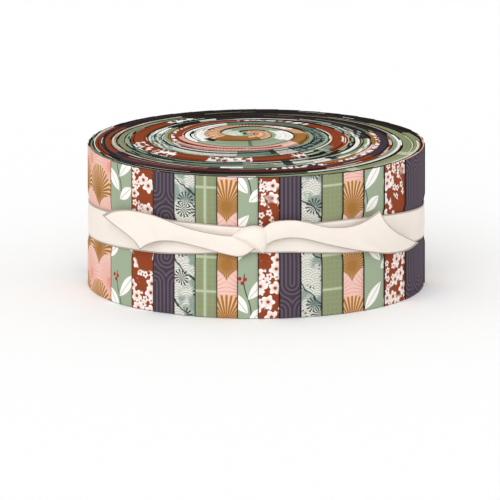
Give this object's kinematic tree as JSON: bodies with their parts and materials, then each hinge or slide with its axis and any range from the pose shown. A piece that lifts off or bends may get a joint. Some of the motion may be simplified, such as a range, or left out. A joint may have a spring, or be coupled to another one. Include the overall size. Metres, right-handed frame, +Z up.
{
  "type": "roll of precut quilting fabric strips with a ribbon tie",
  "caption": "Drum of narrow cotton quilting strips wound edge up in a tight spiral, in mixed prints, tied round the middle with a flat cream ribbon whose ends hang free.",
  "frame": {"origin": "middle of the flat underside that the roll stands on", "axes": "+Z up along the winding axis, -Y towards the knot of the ribbon, +X to the right of the knot"},
  "size_m": [0.1508, 0.1547, 0.0635],
  "materials": {
    "printed_cotton": "matt plain-weave cotton in six prints: sage, rust with blossom, plum, grey waves, olive check, peach and tan rosettes",
    "ribbon_cotton": "matt cream woven ribbon"
  },
  "bodies": {
    "root": {"strip_roll": "printed_cotton", "ribbon_tie": "ribbon_cotton"}
  },
  "joints": []
}
